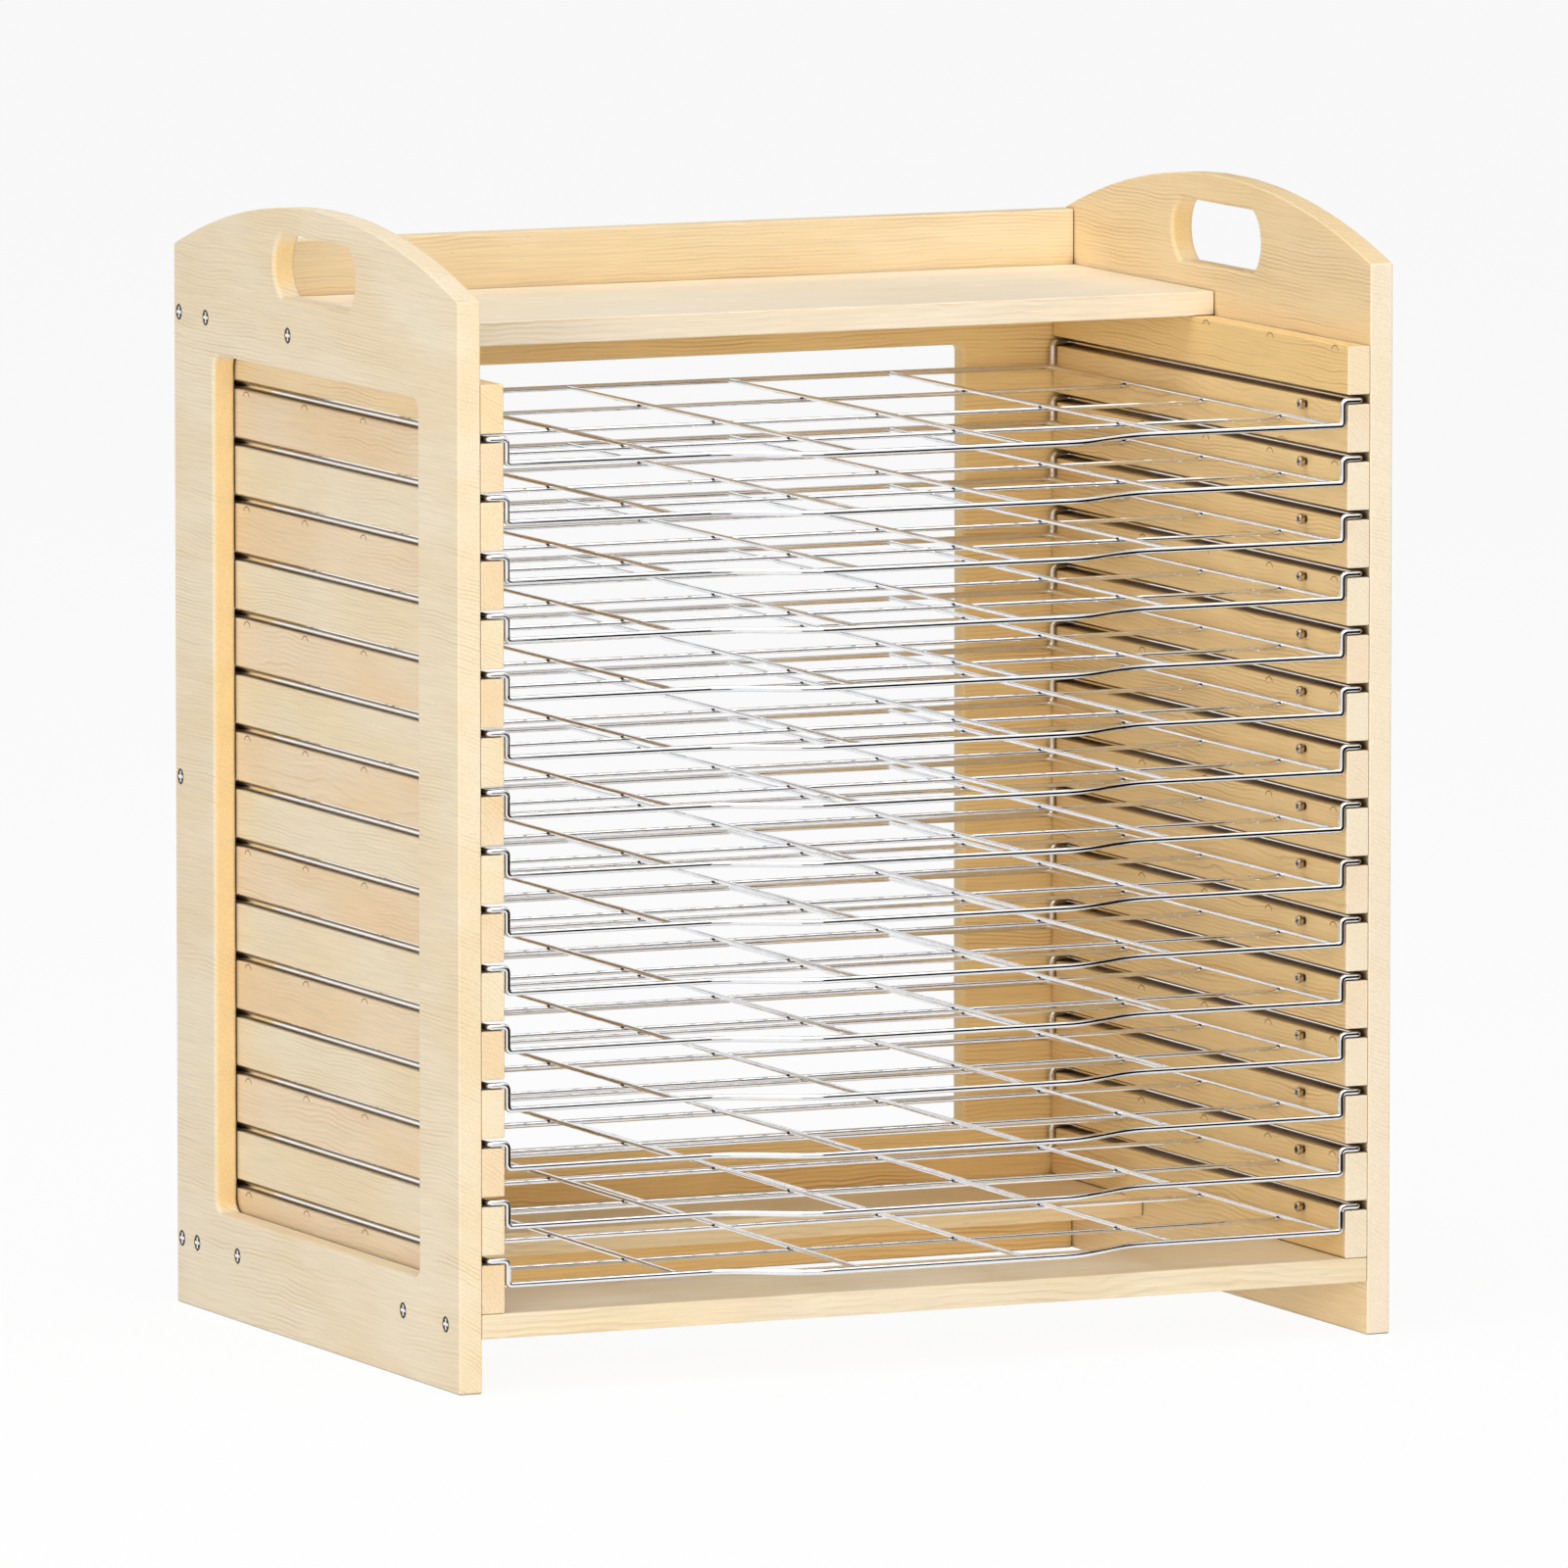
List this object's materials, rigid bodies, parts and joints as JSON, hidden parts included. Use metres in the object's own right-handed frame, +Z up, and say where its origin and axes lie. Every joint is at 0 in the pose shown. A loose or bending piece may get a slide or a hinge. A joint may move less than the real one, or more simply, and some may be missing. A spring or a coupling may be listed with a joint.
{
  "type": "art drying rack",
  "caption": "Wooden drying rack with slatted sides, a top shelf and hand slots, whose chrome wire trays slide out for wet artwork.",
  "frame": {"origin": "centre of the bounding box on the floor, under the feet", "axes": "+Z up, -Y towards the front where the trays pull out, +X to the right as seen from the front"},
  "size_m": [0.527, 0.392, 0.5895],
  "materials": {
    "frame_wood": "satin clear-coated basswood, fine straight grain",
    "slat_wood_pale": "satin clear-coated basswood, paler stock",
    "slat_wood_warm": "satin clear-coated basswood, warmer stock",
    "chrome_wire": "bright chrome-plated steel wire"
  },
  "bodies": {
    "rack": {"left_side_panel": "frame_wood", "right_side_panel": "frame_wood", "back_panel": "frame_wood", "top_shelf": "frame_wood", "front_bottom_rail": "frame_wood", "rear_bottom_rail": "frame_wood", "left_slat_01": "slat_wood_pale", "right_slat_01": "slat_wood_pale", "left_slat_02": "slat_wood_warm", "right_slat_02": "slat_wood_warm", "left_slat_03": "slat_wood_pale", "right_slat_03": "slat_wood_pale", "left_slat_04": "slat_wood_warm", "right_slat_04": "slat_wood_warm", "left_slat_05": "slat_wood_pale", "right_slat_05": "slat_wood_pale", "left_slat_06": "slat_wood_warm", "right_slat_06": "slat_wood_warm", "left_slat_07": "slat_wood_pale", "right_slat_07": "slat_wood_pale", "left_slat_08": "slat_wood_warm", "right_slat_08": "slat_wood_warm", "left_slat_09": "slat_wood_pale", "right_slat_09": "slat_wood_pale", "left_slat_10": "slat_wood_warm", "right_slat_10": "slat_wood_warm", "left_slat_11": "slat_wood_pale", "right_slat_11": "slat_wood_pale", "left_slat_12": "slat_wood_warm", "right_slat_12": "slat_wood_warm", "left_slat_13": "slat_wood_pale", "right_slat_13": "slat_wood_pale", "left_slat_14": "slat_wood_warm", "right_slat_14": "slat_wood_warm", "left_slat_15": "slat_wood_pale", "right_slat_15": "slat_wood_pale", "left_slat_16": "slat_wood_warm", "right_slat_16": "slat_wood_warm"},
    "tray_01": {"wire_tray_01": "chrome_wire"},
    "tray_02": {"wire_tray_02": "chrome_wire"},
    "tray_03": {"wire_tray_03": "chrome_wire"},
    "tray_04": {"wire_tray_04": "chrome_wire"},
    "tray_05": {"wire_tray_05": "chrome_wire"},
    "tray_06": {"wire_tray_06": "chrome_wire"},
    "tray_07": {"wire_tray_07": "chrome_wire"},
    "tray_08": {"wire_tray_08": "chrome_wire"},
    "tray_09": {"wire_tray_09": "chrome_wire"},
    "tray_10": {"wire_tray_10": "chrome_wire"},
    "tray_11": {"wire_tray_11": "chrome_wire"},
    "tray_12": {"wire_tray_12": "chrome_wire"},
    "tray_13": {"wire_tray_13": "chrome_wire"},
    "tray_14": {"wire_tray_14": "chrome_wire"},
    "tray_15": {"wire_tray_15": "chrome_wire"}
  },
  "joints": [
    {"name": "tray_01_slide", "type": "slide", "parent": "rack", "child": "tray_01", "axis": [0, -1, 0], "range_m": [0, 0.298]},
    {"name": "tray_02_slide", "type": "slide", "parent": "rack", "child": "tray_02", "axis": [0, -1, 0], "range_m": [0, 0.298]},
    {"name": "tray_03_slide", "type": "slide", "parent": "rack", "child": "tray_03", "axis": [0, -1, 0], "range_m": [0, 0.298]},
    {"name": "tray_04_slide", "type": "slide", "parent": "rack", "child": "tray_04", "axis": [0, -1, 0], "range_m": [0, 0.298]},
    {"name": "tray_05_slide", "type": "slide", "parent": "rack", "child": "tray_05", "axis": [0, -1, 0], "range_m": [0, 0.298]},
    {"name": "tray_06_slide", "type": "slide", "parent": "rack", "child": "tray_06", "axis": [0, -1, 0], "range_m": [0, 0.298]},
    {"name": "tray_07_slide", "type": "slide", "parent": "rack", "child": "tray_07", "axis": [0, -1, 0], "range_m": [0, 0.298]},
    {"name": "tray_08_slide", "type": "slide", "parent": "rack", "child": "tray_08", "axis": [0, -1, 0], "range_m": [0, 0.298]},
    {"name": "tray_09_slide", "type": "slide", "parent": "rack", "child": "tray_09", "axis": [0, -1, 0], "range_m": [0, 0.298]},
    {"name": "tray_10_slide", "type": "slide", "parent": "rack", "child": "tray_10", "axis": [0, -1, 0], "range_m": [0, 0.298]},
    {"name": "tray_11_slide", "type": "slide", "parent": "rack", "child": "tray_11", "axis": [0, -1, 0], "range_m": [0, 0.298]},
    {"name": "tray_12_slide", "type": "slide", "parent": "rack", "child": "tray_12", "axis": [0, -1, 0], "range_m": [0, 0.298]},
    {"name": "tray_13_slide", "type": "slide", "parent": "rack", "child": "tray_13", "axis": [0, -1, 0], "range_m": [0, 0.298]},
    {"name": "tray_14_slide", "type": "slide", "parent": "rack", "child": "tray_14", "axis": [0, -1, 0], "range_m": [0, 0.298]},
    {"name": "tray_15_slide", "type": "slide", "parent": "rack", "child": "tray_15", "axis": [0, -1, 0], "range_m": [0, 0.298]}
  ]
}
